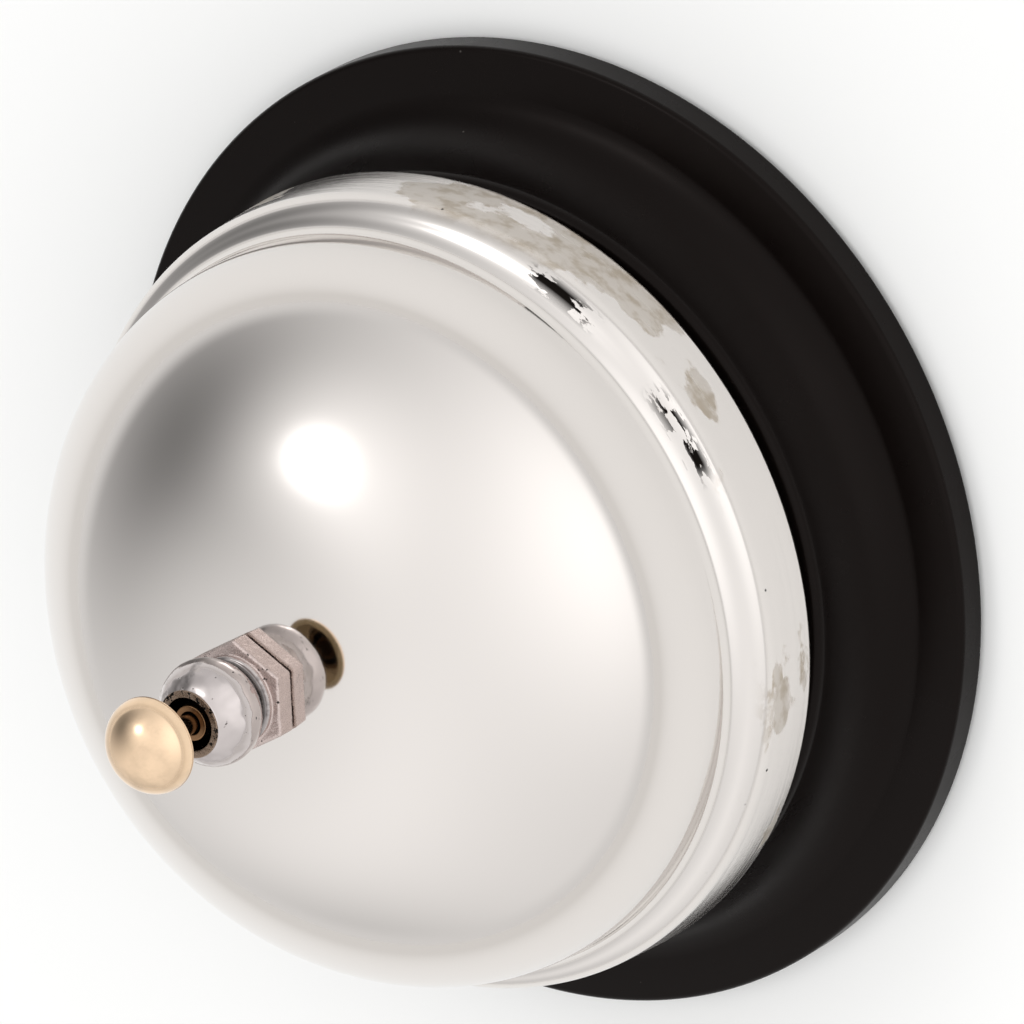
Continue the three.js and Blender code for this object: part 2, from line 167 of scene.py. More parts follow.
def rounded(corners, steps=4, guard=0.04):
    """A polyline whose corners (x, y, radius) become arcs that touch both of their sides.

    Each arc runs between its two points of contact, at distance radius / tan(half the corner's
    angle). A guard point just before and after it keeps the shading of the flat sides flat.
    """
    points = np.array([c[:2] for c in corners], float)
    out = [points[:1]]
    for before, here, after, corner in zip(points[:-2], points[1:-1], points[2:], corners[1:-1]):
        radius = corner[2] if len(corner) > 2 else 0.0
        if radius == 0:
            out.append(here[None])
            continue
        u = (before - here) / np.linalg.norm(before - here)
        v = (after - here) / np.linalg.norm(after - here)
        half = math.acos(np.clip(u @ v, -1, 1)) / 2
        reach = radius / math.tan(half)
        middle = here + (u + v) / np.linalg.norm(u + v) * radius / math.sin(half)
        a, b = here + u * reach - middle, here + v * reach - middle
        sweep = math.atan2(a[0] * b[1] - a[1] * b[0], a @ b)
        t = np.linspace(0, sweep, steps + 1)
        turn = np.stack([a[0] * np.cos(t) - a[1] * np.sin(t), a[0] * np.sin(t) + a[1] * np.cos(t)], 1)
        out += [(here + u * (reach + guard))[None], middle + turn, (here + v * (reach + guard))[None]]
    out.append(points[-1:])
    return np.concatenate(out)


def hexagon(corner, turn, inset, fillet, steps):
    """A hexagon's outline with rounded corners, moved in by inset, with the same points each time.

    Every corner is an arc of radius fillet - inset about a fixed centre, so that a point moves
    straight in along its own normal as inset grows.
    """
    reach = corner - fillet / math.cos(math.radians(30))
    angles = np.radians(turn + 60 * np.arange(6))
    spread = np.radians(np.linspace(-30, 30, steps + 1))
    across = angles[:, None] + spread[None]
    middle = np.stack([np.cos(angles), np.sin(angles)], 1) * reach
    normal = np.stack([np.cos(across), np.sin(across)], -1)
    edge = middle[:, None] + normal * (fillet - inset)
    flat = np.linspace(0, 1, 8)[1:-1, None]
    last, first = edge[:, -1], np.roll(edge[:, 0], -1, axis=0)
    sides = last[:, None] * (1 - flat) + first[:, None] * flat
    return np.concatenate([edge, sides], axis=1).reshape(-1, 2)


# ---- surfaces ------------------------------------------------------------------------------------


def faces_of(rows, sides, wrap):
    """Quads between neighbouring rings of a grid; wrap joins the last ring to the first."""
    i = np.arange(rows if wrap else rows - 1)[:, None]
    j = np.arange(sides)[None]
    k = (i + 1) % rows
    m = (j + 1) % sides
    quads = np.stack([i * sides + j, i * sides + m, k * sides + m, k * sides + j], -1)
    return quads.reshape(-1, 4)


def link(name, mesh):
    piece = bpy.data.objects.new(name, mesh)
    bpy.context.scene.collection.objects.link(piece)
    return piece


def smooth_mesh(name, points, faces):
    """A smooth-shaded mesh from points in millimetres and a list of faces."""
    mesh = bpy.data.meshes.new(name)
    mesh.from_pydata((points * MM).tolist(), [], faces)
    mesh.validate()
    mesh.polygons.foreach_set("use_smooth", np.ones(len(mesh.polygons), bool))
    mesh.update()
    return link(name, mesh)


def rings_to_piece(name, rings, wrap=False):
    """A closed surface through rings of points, an array (ring, point, xyz).

    With wrap the last ring joins the first. Otherwise each end is closed by a fan of triangles
    about the middle of its ring.
    """
    count, sides = rings.shape[:2]
    points = rings.reshape(-1, 3)
    faces = faces_of(count, sides, wrap).tolist()
    if not wrap:
        j = np.arange(sides)
        m = (j + 1) % sides
        low, high = len(points), len(points) + 1
        points = np.concatenate([points, rings[:1].mean(1), rings[-1:].mean(1)])
        faces += np.stack([np.full(sides, low), m, j], 1).tolist()
        top = (count - 1) * sides
        faces += np.stack([np.full(sides, high), top + j, top + m], 1).tolist()
    return smooth_mesh(name, points, faces)


def spun(profile, sides):
    """Rings of a profile (radius, height) spun about Z: (r cos a, r sin a, z)."""
    a = np.linspace(0, 2 * np.pi, sides, endpoint=False)
    r, z = profile[:, 0][:, None], profile[:, 1][:, None]
    return np.stack([r * np.cos(a), r * np.sin(a), z + 0 * a], -1)


def turned(name, profile, sides, wrap=False, at=(0, 0, 0), lie=None):
    """A turned piece; lie is a rotation that takes its Z axis to where the piece points."""
    rings = spun(np.asarray(profile, float), sides)
    if lie is not None:
        rings = rings @ np.array(lie).T
    return rings_to_piece(name, rings + np.array(at, float), wrap)


def tube_ring(name, inner, outer, low, high, edge, sides=SMALL):
    """A flat ring with its four edges rounded."""
    middle = (inner + outer) / 2
    outline = rounded([
        (middle, low), (outer, low, edge), (outer, high, edge), (inner, high, edge),
        (inner, low, edge), (middle, low),
    ])
    return turned(name, outline[:-1], sides, wrap=True)


def hex_rings(corner, turn, fillet, profile, steps=6):
    """Rings of a piece that is a hexagon outside and round inside.

    profile rows are (kind, x, z): kind 0 is the hexagon moved in by x, kind 1 a circle of radius x
    whose points stand at the hexagon's own angles, so that flat faces stay flat between them.
    """
    rings = []
    plan = hexagon(corner, turn, 0.0, fillet, steps)
    angle = np.arctan2(plan[:, 1], plan[:, 0])
    circle = np.stack([np.cos(angle), np.sin(angle)], 1)
    for kind, x, z in profile:
        flat = hexagon(corner, turn, x, fillet, steps) if kind == 0 else circle * x
        rings.append(np.column_stack([flat, np.full(len(flat), z)]))
    return np.array(rings)


def finish(piece, material, body, slot, *replaced):
    """Gives a piece its material and its body, and hides the CAD nodes that it stands for. slot is not used."""
    piece.data.materials.append(material)
    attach(piece, body)
    if replaced:
        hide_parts(*replaced)
    return piece


# ---- materials -----------------------------------------------------------------------------------


def node(tree, kind, inputs, out=0, **settings):
    """Adds a shader node and returns one of its outputs.

    inputs gives each socket its value, or the output that feeds it; settings are its properties.
    """
    made = tree.nodes.new("ShaderNode" + kind)
    for key, value in settings.items():
        setattr(made, key, value)
    for key, value in inputs.items():
        if isinstance(value, bpy.types.NodeSocket):
            tree.links.new(value, made.inputs[key])
        else:
            made.inputs[key].default_value = value
    return made.outputs[out] if made.outputs else None


def begin(name):
    """A new material, its tree, and the Object coordinates in millimetres."""
    material = bpy.data.materials.new(name)
    material.use_nodes = True
    tree = material.node_tree
    tree.nodes.clear()
    place = node(tree, "TexCoord", {}, "Object")
    return material, tree, node(tree, "Mapping", {"Vector": place, "Scale": (1000, 1000, 1000)})


def complete(tree, surface):
    """Closes a material with a Principled shader that has these values and links."""
    shader = node(tree, "BsdfPrincipled", surface)
    node(tree, "OutputMaterial", {"Surface": shader})


def shade(colour, share=1.0):
    """A linear colour with its alpha, made darker by a share."""
    return (*(c * share for c in colour), 1)


def specks(tree, place, per_mm, radius, share):
    """1 in small round spots; radius is in cells, and share is how many of the cells have one.

    The cells of a Voronoi pattern give the distance to their middle, and their random colour picks
    the few that hold a spot.
    """
    cells = {"Vector": place, "Scale": per_mm}
    distance = node(tree, "TexVoronoi", cells, "Distance")
    lot = node(tree, "SeparateColor", {0: node(tree, "TexVoronoi", cells, "Color")})
    spot = node(tree, "MapRange", {0: distance, 1: radius * 0.4, 2: radius, 3: 1, 4: 0})
    chosen = node(tree, "Math", {0: lot, 1: share}, operation="LESS_THAN")
    return node(tree, "Math", {0: spot, 1: chosen}, operation="MULTIPLY")


def patches(tree, place, scale, low, high, detail=4.0):
    """0 to 1 in cloudy patches: noise stretched by scale (per mm), cut softly from low to high."""
    spread = node(tree, "Mapping", {"Vector": place, "Scale": scale})
    cloud = node(tree, "TexNoise", {"Vector": spread, "Scale": 1.0, "Detail": detail, "Roughness": 0.58})
    return node(tree, "MapRange", {0: cloud, 1: low, 2: high}, interpolation_type="SMOOTHSTEP")


def near(tree, place, middle, reach):
    """1 round a point, and 0 beyond its reach in mm."""
    away = node(tree, "VectorMath", {0: place, 1: middle}, "Value", operation="DISTANCE")
    return node(tree, "MapRange", {0: away, 1: reach * 0.55, 2: reach, 3: 1, 4: 0},
                interpolation_type="SMOOTHSTEP")


def band(tree, height, low, high, soft):
    """1 where height is between low and high, with soft edges."""
    rise = node(tree, "MapRange", {0: height, 1: low - soft, 2: low + soft})
    fall = node(tree, "MapRange", {0: height, 1: high - soft, 2: high + soft, 3: 1, 4: 0})
    return node(tree, "Math", {0: rise, 1: fall}, operation="MULTIPLY")


def nickel_plate(colours):
    """Bright nickel on drawn steel.

    The dome was buffed to a mirror. The skirt was only brushed round and round, so it blurs what it
    reflects, and it has brown water stains and small pits. Black buffing compound stayed in the
    step, in two smears about 7 mm long. The stains are thickest on one side of the skirt.
    """
    material, tree, place = begin("bright_nickel_plate")
    height = node(tree, "SeparateXYZ", {0: place}, "Z")
    skirt = node(tree, "MapRange", {0: height, 1: 20.6, 2: 22.2, 3: 1, 4: 0}, interpolation_type="SMOOTHSTEP")
    brushed = patches(tree, place, (0.05, 0.05, 4.0), 0.3, 0.7)
    wetted = near(tree, place, (20.1, -28.7, 18.0), 16.0)
    edge = node(tree, "Math", {0: wetted, 1: -0.14, 2: 0.58}, operation="MULTIPLY_ADD")
    cloud = node(tree, "Mapping", {"Vector": place, "Scale": (0.07, 0.07, 0.16)})
    cloud = node(tree, "TexNoise", {"Vector": cloud, "Scale": 1.0, "Detail": 7.0, "Roughness": 0.58})
    stain = node(tree, "MapRange", {0: node(tree, "Math", {0: cloud, 1: edge}, operation="SUBTRACT"),
                                    1: 0.0, 2: 0.03}, interpolation_type="SMOOTHSTEP")
    stain = node(tree, "Math", {0: stain, 1: skirt}, operation="MULTIPLY")
    mottle = patches(tree, place, (0.5, 0.5, 0.9), 0.42, 0.66, 5.0)
    haze = patches(tree, place, (0.09, 0.09, 0.09), 0.3, 0.7)
    pits = node(tree, "Math", {0: specks(tree, place, 0.6, 0.10, 0.2), 1: skirt}, operation="MULTIPLY")
    nicks = specks(tree, place, 0.35, 0.045, 0.05)
    spots = node(tree, "Math", {
        0: near(tree, place, (15.9, -29.9, 22.0), 4.6), 1: near(tree, place, (1.2, -33.8, 22.0), 5.2),
    }, operation="MAXIMUM")
    ragged = patches(tree, place, (0.35, 0.35, 2.6), 0.49, 0.51, 8.0)
    smear = node(tree, "Math", {0: ragged, 1: spots}, operation="MULTIPLY")
    smear = node(tree, "Math", {0: smear, 1: band(tree, height, 21.6, 22.4, 0.25)}, operation="MULTIPLY")

    mirror = node(tree, "MapRange", {0: haze, 3: 0.05, 4: 0.085})
    satin = node(tree, "MapRange", {0: brushed, 3: 0.13, 4: 0.22})
    rough = node(tree, "Mix", {0: skirt, 2: mirror, 3: satin})
    rough = node(tree, "Math", {0: stain, 1: 0.14, 2: rough}, operation="MULTIPLY_ADD")
    rough = node(tree, "Math", {0: smear, 1: 0.30, 2: rough}, operation="MULTIPLY_ADD")

    plate, brown = shade(colours.nickel), shade(colours.stain)
    worn = node(tree, "MapRange", {0: mottle, 3: 0.45, 4: 1.0})
    worn = node(tree, "Math", {0: worn, 1: stain}, operation="MULTIPLY")
    tint = node(tree, "Mix", {0: worn, 6: plate, 7: brown}, 2, data_type="RGBA")
    marks = node(tree, "Math", {0: pits, 1: nicks}, operation="MAXIMUM")
    marks = node(tree, "Math", {0: marks, 1: smear}, operation="MAXIMUM")
    tint = node(tree, "Mix", {0: marks, 6: tint, 7: shade(colours.soot_and_painted_shade)}, 2, data_type="RGBA")

    # the sheet's own slow waves, about 25 mm long, and then the brushing
    waves = node(tree, "TexNoise", {"Vector": place, "Scale": 0.04, "Detail": 1.0})
    normal = node(tree, "Bump", {"Height": waves, "Distance": 0.25 * MM, "Strength": 0.3})
    grooves = node(tree, "Math", {0: brushed, 1: skirt}, operation="MULTIPLY")
    normal = node(tree, "Bump", {"Height": grooves, "Distance": 0.006 * MM, "Strength": 0.5, "Normal": normal})
    normal = node(tree, "Bump", {"Height": marks, "Distance": -0.04 * MM, "Strength": 0.6, "Normal": normal})
    complete(tree, {"Base Color": tint, "Metallic": 1.0, "Roughness": rough, "Normal": normal})
    return material


def plated_casting(colours, face, top):
    """A zinc casting with a bright plate over a surface that was barely polished.

    The drum shines, with blotches that are rougher and painted darker: a painted reflection. The
    hexagon keeps the mould's grit, about 0.25 mm, and the ring round the hole is raw and brown, with
    black pits. The groove under the drum is painted dark: a painted shadow.
    """
    material, tree, place = begin("plated_zinc_casting")
    height = node(tree, "SeparateXYZ", {0: place}, "Z")
    flange = node(tree, "MapRange", {0: height, 1: face + 0.05, 2: face + 0.5, 3: 1, 4: 0})
    mouth = node(tree, "MapRange", {0: height, 1: top - 0.32, 2: top - 0.12}, interpolation_type="SMOOTHSTEP")
    raw = node(tree, "Math", {0: flange, 1: mouth}, operation="MAXIMUM")
    grit = node(tree, "TexNoise", {"Vector": place, "Scale": 2.6, "Detail": 5.0, "Roughness": 0.68})
    blotch_and_painted_reflection = patches(tree, place, (0.40, 0.40, 0.40), 0.58, 0.68, 5.0)
    cavities = patches(tree, place, (1.5, 1.5, 1.5), 0.66, 0.70, 4.0)
    rim_pits = node(tree, "Math", {0: patches(tree, place, (1.6, 1.6, 1.6), 0.57, 0.60, 5.0), 1: mouth},
                    operation="MULTIPLY")
    pits = node(tree, "Math", {0: cavities, 1: rim_pits}, operation="MAXIMUM")
    clean = node(tree, "Math", {0: blotch_and_painted_reflection, 1: 0.16, 2: 0.05}, operation="MULTIPLY_ADD")
    coarse = node(tree, "MapRange", {0: grit, 1: 0.35, 2: 0.65, 3: 0.16, 4: 0.36})
    rough = node(tree, "Mix", {0: raw, 2: clean, 3: coarse})

    # painted reflection: the drum's colour is darkened in blotches, standing in for dark things mirrored in it
    lower_tone = node(tree, "Math", {0: blotch_and_painted_reflection, 1: 0.6}, operation="MULTIPLY")
    tint = node(tree, "Mix", {0: lower_tone, 6: shade(colours.casting), 7: shade(colours.casting, 0.35)}, 2,
                data_type="RGBA")
    tint = node(tree, "Mix", {0: flange, 6: tint, 7: shade(colours.grit)}, 2, data_type="RGBA")
    tint = node(tree, "Mix", {0: mouth, 6: tint, 7: shade(colours.residue)}, 2, data_type="RGBA")
    # painted shadow: the groove between the collar and the drum joins the pits, painted most of the way to black
    # and dented like them
    painted_groove_shadow = band(tree, height, face + 0.55, face + 1.0, 0.15)
    pits = node(tree, "Math", {0: pits, 1: node(tree, "Math", {0: painted_groove_shadow, 1: 0.75}, operation="MULTIPLY")},
                operation="MAXIMUM")
    tint = node(tree, "Mix", {0: pits, 6: tint, 7: shade(colours.soot_and_painted_shade)}, 2, data_type="RGBA")

    grain = node(tree, "Math", {0: grit, 1: raw}, operation="MULTIPLY")
    normal = node(tree, "Bump", {"Height": grain, "Distance": 0.14 * MM, "Strength": 0.6})
    dents = node(tree, "TexNoise", {"Vector": place, "Scale": 0.5, "Detail": 1.0})
    normal = node(tree, "Bump", {"Height": dents, "Distance": 0.6 * MM, "Strength": 0.5, "Normal": normal})
    normal = node(tree, "Bump", {"Height": pits, "Distance": -0.08 * MM, "Strength": 0.8, "Normal": normal})
    complete(tree, {"Base Color": tint, "Metallic": 1.0, "Roughness": rough, "Normal": normal})
    return material


def turned_metal(name, base, roughness, per_mm, lower_tone=None, dull_below=-1000):
    """Turned and polished metal: fine rings round its axis, and a cloudy tarnish about 3 mm wide.
    Below a height it can be unpolished and brown."""
    if name in bpy.data.materials:
        return bpy.data.materials[name]
    material, tree, place = begin(name)
    rings = patches(tree, place, (0.15, 0.15, per_mm), 0.3, 0.7, 3.0)
    cloud = patches(tree, place, (0.35, 0.35, 0.35), 0.42, 0.72)
    rough = node(tree, "MapRange", {0: rings, 3: roughness * 0.8, 4: roughness * 1.2})
    rough = node(tree, "Math", {0: cloud, 1: roughness * 0.5, 2: rough}, operation="MULTIPLY_ADD")
    tint = node(tree, "Mix", {0: cloud, 6: shade(base), 7: shade(base, 0.82)}, 2, data_type="RGBA")
    height = node(tree, "SeparateXYZ", {0: place}, "Z")
    under = node(tree, "MapRange", {0: height, 1: dull_below - 0.05, 2: dull_below + 0.05, 3: 1, 4: 0})
    tint = node(tree, "Mix", {0: under, 6: tint, 7: shade(lower_tone or base)}, 2, data_type="RGBA")
    normal = node(tree, "Bump", {"Height": rings, "Distance": 0.002 * MM, "Strength": 0.3})
    complete(tree, {"Base Color": tint, "Metallic": 1.0, "Roughness": rough, "Normal": normal})
    return material


def plated_steel(name, base, roughness):
    """Cold-rolled steel with a thin plate: rolling marks along X and a cloudy sheen."""
    if name in bpy.data.materials:
        return bpy.data.materials[name]
    material, tree, place = begin(name)
    rolled = patches(tree, place, (0.4, 5.0, 5.0), 0.3, 0.7)
    cloud = patches(tree, place, (0.35, 0.35, 0.35), 0.35, 0.7)
    rough = node(tree, "MapRange", {0: cloud, 3: roughness * 0.8, 4: roughness * 1.3})
    tint = node(tree, "Mix", {0: cloud, 6: shade(base), 7: shade(base, 0.78)}, 2, data_type="RGBA")
    normal = node(tree, "Bump", {"Height": rolled, "Distance": 0.008 * MM, "Strength": 0.5})
    complete(tree, {"Base Color": tint, "Metallic": 1.0, "Roughness": rough, "Normal": normal})
    return material


def black_enamel(colours):
    """Stoved black enamel on stamped steel: semi-matt, with an orange peel of about 1 mm and dust."""
    material, tree, place = begin("black_stove_enamel")
    cloud = patches(tree, place, (0.12, 0.12, 0.12), 0.3, 0.7)
    dust = specks(tree, place, 0.5, 0.06, 0.12)
    rough = node(tree, "MapRange", {0: cloud, 3: 0.26, 4: 0.33})
    tint = node(tree, "Mix", {0: dust, 6: shade(colours.enamel), 7: shade(colours.dust)}, 2,
                data_type="RGBA")
    peel = node(tree, "TexNoise", {"Vector": place, "Scale": 1.0, "Detail": 2.0})
    normal = node(tree, "Bump", {"Height": peel, "Distance": 0.012 * MM, "Strength": 0.4})
    normal = node(tree, "Bump", {"Height": dust, "Distance": 0.05 * MM, "Strength": 0.5, "Normal": normal})
    complete(tree, {
        "Base Color": tint, "Roughness": rough, "Specular IOR Level": 0.10,
        "Specular Tint": (1.0, 0.88, 0.84, 1), "Normal": normal,
    })
    return material


def moulded(name, base, roughness, per_mm):
    """Moulded or pressed soft material: dull, with a fine grain and a slightly uneven colour."""
    material, tree, place = begin(name)
    cloud = patches(tree, place, (0.4, 0.4, 0.4), 0.3, 0.7)
    rough = node(tree, "MapRange", {0: cloud, 3: roughness * 0.85, 4: roughness * 1.1})
    tint = node(tree, "Mix", {0: cloud, 6: shade(base), 7: shade(base, 0.7)}, 2, data_type="RGBA")
    grain = node(tree, "TexNoise", {"Vector": place, "Scale": per_mm, "Detail": 3.0})
    normal = node(tree, "Bump", {"Height": grain, "Distance": 0.03 * MM, "Strength": 0.6})
    complete(tree, {"Base Color": tint, "Roughness": rough, "Normal": normal})
    return material


def zinc(colours):
    return plated_steel("zinc_plated_steel", colours.zinc, 0.32)


def oiled(colours):
    return plated_steel("oiled_spring_steel", colours.spring, 0.3)


def dull_brass(colours):
    return turned_metal("turned_brass", colours.dull_brass, 0.24, 5.0)


def bright_steel(colours):
    return turned_metal("ground_bright_steel", colours.steel, 0.18, 6.0)


# ---- pieces --------------------------------------------------------------------------------------

CORNERS = ("back_right", "back_left", "front_left", "front_right")
JOINTS = {joint["name"]: joint for joint in frame["joints"]}
BEHAVIOUR = frame["record"]["behaviour"]
PRESS = JOINTS["plunger_press"]["range_m"][1] / MM
TILT = BEHAVIOUR["couplings"][0]["ratio"] * PRESS * MM / 2
PIVOT = np.array(JOINTS["striker_swing"]["pos_m"]) / MM
LEAN = Matrix.Rotation(TILT, 3, "Y")  # the lever's fork stands up by half of its swing
ALONG_Y = Matrix.Rotation(-math.pi / 2, 3, "X")


def base_profile(sizes):
    """The stamped sheet: wall, shoulder, flange, a quarter ellipse for the cove, and a flat top."""
    r, top, sheet = sizes.base_radius / MM, sizes.base_top / MM, sizes.base_sheet / MM
    foot, wall_top, cove_top = BASE_LOW[2], 3.1, top - 1.0
    cove = arc(38.9, cove_top, 4.7, cove_top - 4.0, 270, 180, 28)
    inner_cove = arc(38.9, cove_top, 4.7 + sheet, cove_top - 4.0 + sheet, 180, 270, 28)
    outside = [
        rounded([(37, foot), (r, foot, 0.3), (r, wall_top + 0.42, 0.5), (38.9, 4.0)], 6),
        cove[1:],
        arc(33.2, cove_top, 1.0, 1.0, 0, 90, 10)[1:],
        [(33.1, top), (6, top), (0.05, top)],
    ]
    inside = [
        [(0.05, top - sheet), (33.1, top - sheet)],
        arc(33.2, cove_top, 0.1, 0.1, 90, 0, 3),
        inner_cove[:-1],
        rounded([(38.9, 4.0 - sheet), (r - sheet, wall_top - 0.45, 0.3), (r - sheet, foot + sheet, 0.3),
                 (36.4, foot + sheet)], 4),
        arc(36.45, foot + sheet / 2, 0.45, sheet / 2, 90, 270, 6)[1:-1],
    ]
    return np.concatenate([np.array(p, float) for p in outside]), np.concatenate(
        [np.array(p, float) for p in inside])


def bell_profile(sizes, inset):
    """From the rim up: a flared skirt, a shoulder arc and a hollow arc of the same radius that touch
    each other, an upright stretch, and half an ellipsoid. At angle t, sin^6 t (5.88 cos^2 t - 0.27)
    is added to the ellipsoid's height, which flattens its crown."""
    rim, dome = sizes.bell_rim / MM, sizes.bell_radius / MM
    round_, skirt_r, skirt_top, centre_z = 2.1, 35.05, 20.3, 25.5
    shoulder, hollow = skirt_r - round_, dome + round_
    lean = math.acos((hollow - shoulder) / (2 * round_))
    turn = math.degrees(lean)
    hollow_z = skirt_top + 2 * round_ * math.sin(lean)
    half = dome - inset
    shell = arc(0, centre_z, half, 20.5 - inset, 0, math.degrees(math.acos(2.9 / half)), 120)
    s = (shell[:, 0] / half) ** 2
    shell[:, 1] += (1 - s) ** 3 * (5.88 * s - 0.27)
    return np.concatenate([
        [(rim - inset, BELL_LOW[2] + 0.4)],
        arc(shoulder, skirt_top, round_ - inset, round_ - inset, 0, turn, 20),
        arc(hollow, hollow_z, round_ + inset, round_ + inset, 180 + turn, 180, 20)[1:],
        shell,
    ])


def make_base(sizes, colours):
    outside, inside = base_profile(sizes)
    enamel = black_enamel(colours)
    profile = np.concatenate([outside, inside])
    piece = rings_to_piece("enamelled_base", spun(profile, ROUND), wrap=True)
    finish(piece, enamel, "frame", "black_paint", "base_shell")


def make_feet(colours):
    """Each foot: a pad under the lip, a stem, and a round head over the lip."""
    rubber = moulded("moulded_black_rubber", colours.rubber, 0.75, 4.0)
    under, over = BASE_LOW[2] - GAP, BASE_LOW[2] + 0.9 + GAP
    for name in CORNERS:
        part = "foot_" + name
        high = box(part)[1]
        profile = rounded([
            (0.1, 0), (2.3, 0, 0.12), (2.3, under, 0.08), (1.2, under), (1.2, over),
            (1.8, over, 0.1), (1.2, high[2], 0.4), (0.1, high[2]),
        ], 4)
        x, y, _ = centre(part)
        piece = turned("rubber_" + part, profile, SMALL, at=(x, y, 0))
        finish(piece, rubber, "frame", "black_rubber", part)


def make_dome(sizes, colours):
    """Both sides of the sheet, a round rim between them, and a small lip inside the crown's hole."""
    wall, hole = sizes.bell_wall / MM, 2.4
    outer, inner = bell_profile(sizes, 0.0), bell_profile(sizes, wall)
    crown, under = outer[-1][1], BELL_HIGH[2] - wall
    profile = np.concatenate([
        outer[:1] + (0, 0.1), outer[1:],
        rounded([(2.9, crown), (hole, crown, 0.12), (hole, under, 0.12), (4.8, under)], 4)[1:],
        inner[inner[:, 0] > 5.0][::-1], inner[:1] + (0, 0.1),
        arc(outer[0][0] - wall / 2, outer[0][1], wall / 2, 0.4, 180, 360, 12),
    ])
    piece = rings_to_piece("plated_dome", spun(profile, ROUND), wrap=True)
    finish(piece, nickel_plate(colours), "frame", "nickel_plate", "bell_dome")


def make_cap_nut(sizes, colours):
    """Hexagonal flange, low collar and round drum, with one bore through all of it."""
    foot, top, hole = NUT_LOW[2], NUT_HIGH[2], 2.3
    face = foot + 1.85
    drum = arc(0, face + 3.5, 4.62, 3.5, -40, 55, 26)
    profile = [(1, hole + 0.15, foot), (1, 3.9, foot), (0, 0.3, foot), (0, 0.16, foot), (0, 0.05, foot + 0.05),
               (0, 0, foot + 0.16), (0, 0, foot + 0.3), (0, 0, face - 0.3), (0, 0, face - 0.18),
               (0, 0.05, face - 0.06), (0, 0.18, face), (0, 0.3, face), (1, 3.95, face), (1, 3.85, face + 0.01),
               (1, 3.77, face + 0.06), (1, 3.75, face + 0.15), (1, 3.75, face + 0.42), (1, 3.70, face + 0.52),
               (1, 3.6, face + 0.57), (1, 3.5, face + 0.62), (1, 3.42, face + 0.85)]
    profile += [(1, r, z) for r, z in drum]
    profile += [(1, r, z) for r, z in rounded([(2.75, top - 0.55), (3.0, top - 0.02, 0.1), (hole, top - 0.02, 0.12),
                                               (hole, foot + 0.2)], 4)[1:]]
    piece = rings_to_piece("cast_cap_nut", hex_rings(sizes.nut_corner / MM, 27, 0.35, profile, 8), wrap=True)
    finish(piece, plated_casting(colours, face, top), "frame", "plated_casting", "cap_nut")


def hex_nut(name, part, material, slot):
    """A plain hexagon nut, turned down to a cone of 30 degrees at the corners of both faces."""
    low, high = box(part)
    z0, z1, bore = low[2], high[2], 2.3
    corner = (high[0] - low[0]) / 2
    flat = corner * math.cos(math.radians(30))
    profile = [(1, bore + 0.2, z0), (1, flat * 0.96, z0), (0, 0.02, z0 + 0.18), (0, 0, z0 + 0.25),
               (0, 0, z1 - 0.25), (0, 0.02, z1 - 0.18), (1, flat * 0.96, z1), (1, bore + 0.2, z1),
               (1, bore, z1 - 0.2), (1, bore, z0 + 0.2)]
    piece = rings_to_piece(name, hex_rings(corner, 0, 0.12, profile, 3), wrap=True)
    return finish(piece, material, "frame", slot, part)


def make_post(colours):
    """The hollow post: flange, threaded length with real ridges, and a plain nose."""
    low, high = box("post")
    pitch, root, crest = 0.7, 2.05, 2.2
    count = int((50.3 - 33.6) / pitch)
    ridge = np.array([(root, 0.0), (crest, 0.28), (crest, 0.42)])
    thread = (ridge[None] + np.stack([np.zeros(count), 33.6 + pitch * np.arange(count)], 1)[:, None]).reshape(-1, 2)
    profile = np.concatenate([
        rounded([(1.3, low[2]), (4.0, low[2], 0.15), (4.0, low[2] + 1, 0.15), (2.2, low[2] + 1)], 4),
        thread,
        rounded([(2.05, 50.4), (1.55, 51.0), (1.55, high[2], 0.12), (1.0, high[2], 0.08), (1.0, low[2], 0.1),
                 (1.2, low[2])], 4),
    ])
    bush = turned_metal("browned_brass_bush", colours.bush, 0.22, 5.0)
    finish(turned("hollow_post", profile, SMALL, wrap=True), bush, "frame", "turned_brass", "post")
    hex_nut("lower_post_nut", "post_nut", zinc(colours), "zinc_plate")
    hex_nut("seat_nut", "bell_seat_nut", zinc(colours), "zinc_plate")
    low, high = box("cushion_washer")
    washer = tube_ring("fibre_washer", 2.3, high[0], low[2], high[2], 0.12)
    fibre = moulded("vulcanised_fibre", colours.fibre, 0.7, 3.0)
    finish(washer, fibre, "frame", "red_fibre", "cushion_washer")


def make_bracket(colours):
    """The bracket keeps its stamped shape; its rivets get round heads."""
    paint_node("bracket", zinc(colours))
    over, under = BASE_HIGH[2] + 1.3, BASE_HIGH[2] - 0.95
    for name in CORNERS:
        part = "rivet_" + name
        low, high = box(part)
        x, y, _ = centre(part)
        profile = np.concatenate([
            arc(0, under, 1.9, under - low[2], 272, 358, 10),
            [(1.85, under), (1.0, under), (1.0, over), (1.95, over)],
            arc(0, over, 2.0, high[2] - over, 2, 88, 10),
        ])
        piece = turned(part + "_head", profile, SMALL, at=(x, y, 0))
        finish(piece, zinc(colours), "frame", "zinc_plate", part)


def paint_node(part, material):
    """Gives a CAD node a finish; its shape stays."""
    shown = frame["nodes"][part]
    for place in shown.material_slots:
        place.material = material


